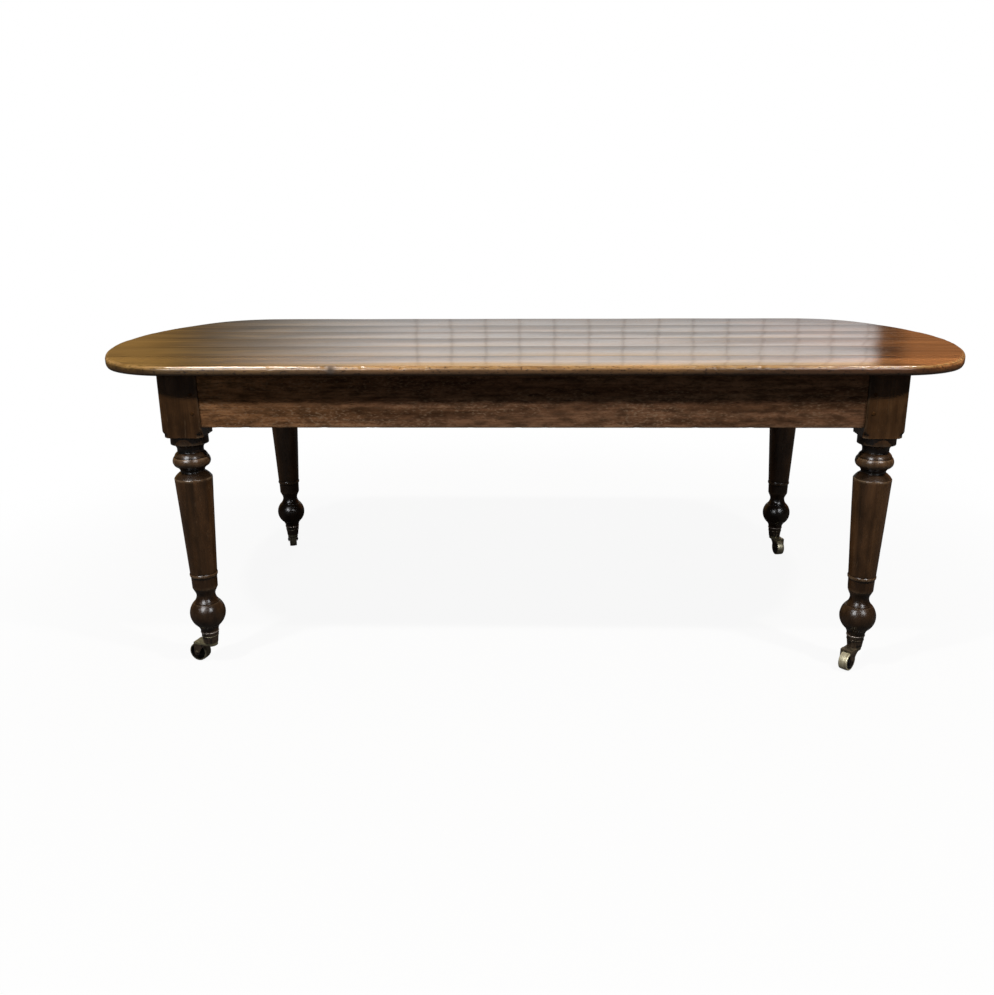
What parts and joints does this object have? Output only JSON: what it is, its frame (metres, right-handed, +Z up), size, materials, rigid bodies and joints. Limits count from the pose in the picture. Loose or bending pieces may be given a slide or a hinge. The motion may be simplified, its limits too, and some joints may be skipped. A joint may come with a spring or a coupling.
{
  "type": "farmhouse dining table",
  "caption": "Long wooden dining table with a bow-ended plank top, plain rails and turned legs on swivelling brass cup castors.",
  "frame": {"origin": "on the floor under the middle of the table top", "axes": "+X along the boards to the right of the picture, +Y away from the picture's viewpoint, +Z up"},
  "size_m": [2.19, 0.97, 0.76],
  "materials": {
    "waxed_top": "waxed and worn",
    "waxed_rail": "waxed, scuffed",
    "waxed_leg": "dark polish",
    "plain_wood": "unfinished, aged",
    "worn_brass": "polished by use",
    "dark_brass": "tarnished",
    "iron_screw": "dull"
  },
  "bodies": {
    "table": {"back_rail": "waxed_rail", "bearer_screws": "iron_screw", "board_dowels": "plain_wood", "button_screws": "iron_screw", "castor_cup_back_left": "dark_brass", "castor_cup_back_right": "dark_brass", "castor_cup_front_left": "dark_brass", "castor_cup_front_right": "dark_brass", "cross_bearer_left": "plain_wood", "cross_bearer_right": "plain_wood", "cup_screws": "dark_brass", "front_rail": "waxed_rail", "left_rail": "waxed_rail", "leg_back_left": "waxed_leg", "leg_back_right": "waxed_leg", "leg_front_left": "waxed_leg", "leg_front_right": "waxed_leg", "right_rail": "waxed_rail", "swivel_pin_back_left": "dark_brass", "swivel_pin_back_right": "dark_brass", "swivel_pin_front_left": "dark_brass", "swivel_pin_front_right": "dark_brass", "tenon_pegs": "waxed_leg", "top_board_1": "waxed_top", "top_board_2": "waxed_top", "top_board_3": "waxed_top", "top_board_4": "waxed_top", "top_board_5": "waxed_top", "top_board_6": "waxed_top", "top_buttons": "plain_wood"},
    "horn_front_left": {"castor_horn_front_left": "dark_brass", "axle_pin_front_left": "dark_brass"},
    "wheel_front_left": {"castor_wheel_front_left": "worn_brass"},
    "horn_front_right": {"castor_horn_front_right": "dark_brass", "axle_pin_front_right": "dark_brass"},
    "wheel_front_right": {"castor_wheel_front_right": "worn_brass"},
    "horn_back_left": {"castor_horn_back_left": "dark_brass", "axle_pin_back_left": "dark_brass"},
    "wheel_back_left": {"castor_wheel_back_left": "worn_brass"},
    "horn_back_right": {"castor_horn_back_right": "dark_brass", "axle_pin_back_right": "dark_brass"},
    "wheel_back_right": {"castor_wheel_back_right": "worn_brass"}
  },
  "joints": [
    {"name": "swivel_front_left", "type": "hinge", "parent": "table", "child": "horn_front_left", "pos_m": [-0.804, -0.4145, 0.0487], "axis": [0, 0, 1], "continuous": true},
    {"name": "swivel_front_right", "type": "hinge", "parent": "table", "child": "horn_front_right", "pos_m": [0.804, -0.4145, 0.0487], "axis": [0, 0, 1], "continuous": true},
    {"name": "swivel_back_left", "type": "hinge", "parent": "table", "child": "horn_back_left", "pos_m": [-0.804, 0.4145, 0.0487], "axis": [0, 0, 1], "continuous": true},
    {"name": "swivel_back_right", "type": "hinge", "parent": "table", "child": "horn_back_right", "pos_m": [0.804, 0.4145, 0.0487], "axis": [0, 0, 1], "continuous": true},
    {"name": "roll_front_left", "type": "hinge", "parent": "horn_front_left", "child": "wheel_front_left", "pos_m": [-0.83668, -0.40513, 0.024], "axis": [-0.2756, -0.9613, 0], "continuous": true},
    {"name": "roll_front_right", "type": "hinge", "parent": "horn_front_right", "child": "wheel_front_right", "pos_m": [0.78038, -0.43896, 0.024], "axis": [0.7193, -0.6947, 0], "continuous": true},
    {"name": "roll_back_left", "type": "hinge", "parent": "horn_back_left", "child": "wheel_back_left", "pos_m": [-0.81394, 0.44701, 0.024], "axis": [-0.9563, -0.2924, 0], "continuous": true},
    {"name": "roll_back_right", "type": "hinge", "parent": "horn_back_right", "child": "wheel_back_right", "pos_m": [0.81049, 0.38112, 0.024], "axis": [0.9816, 0.1908, 0], "continuous": true}
  ]
}
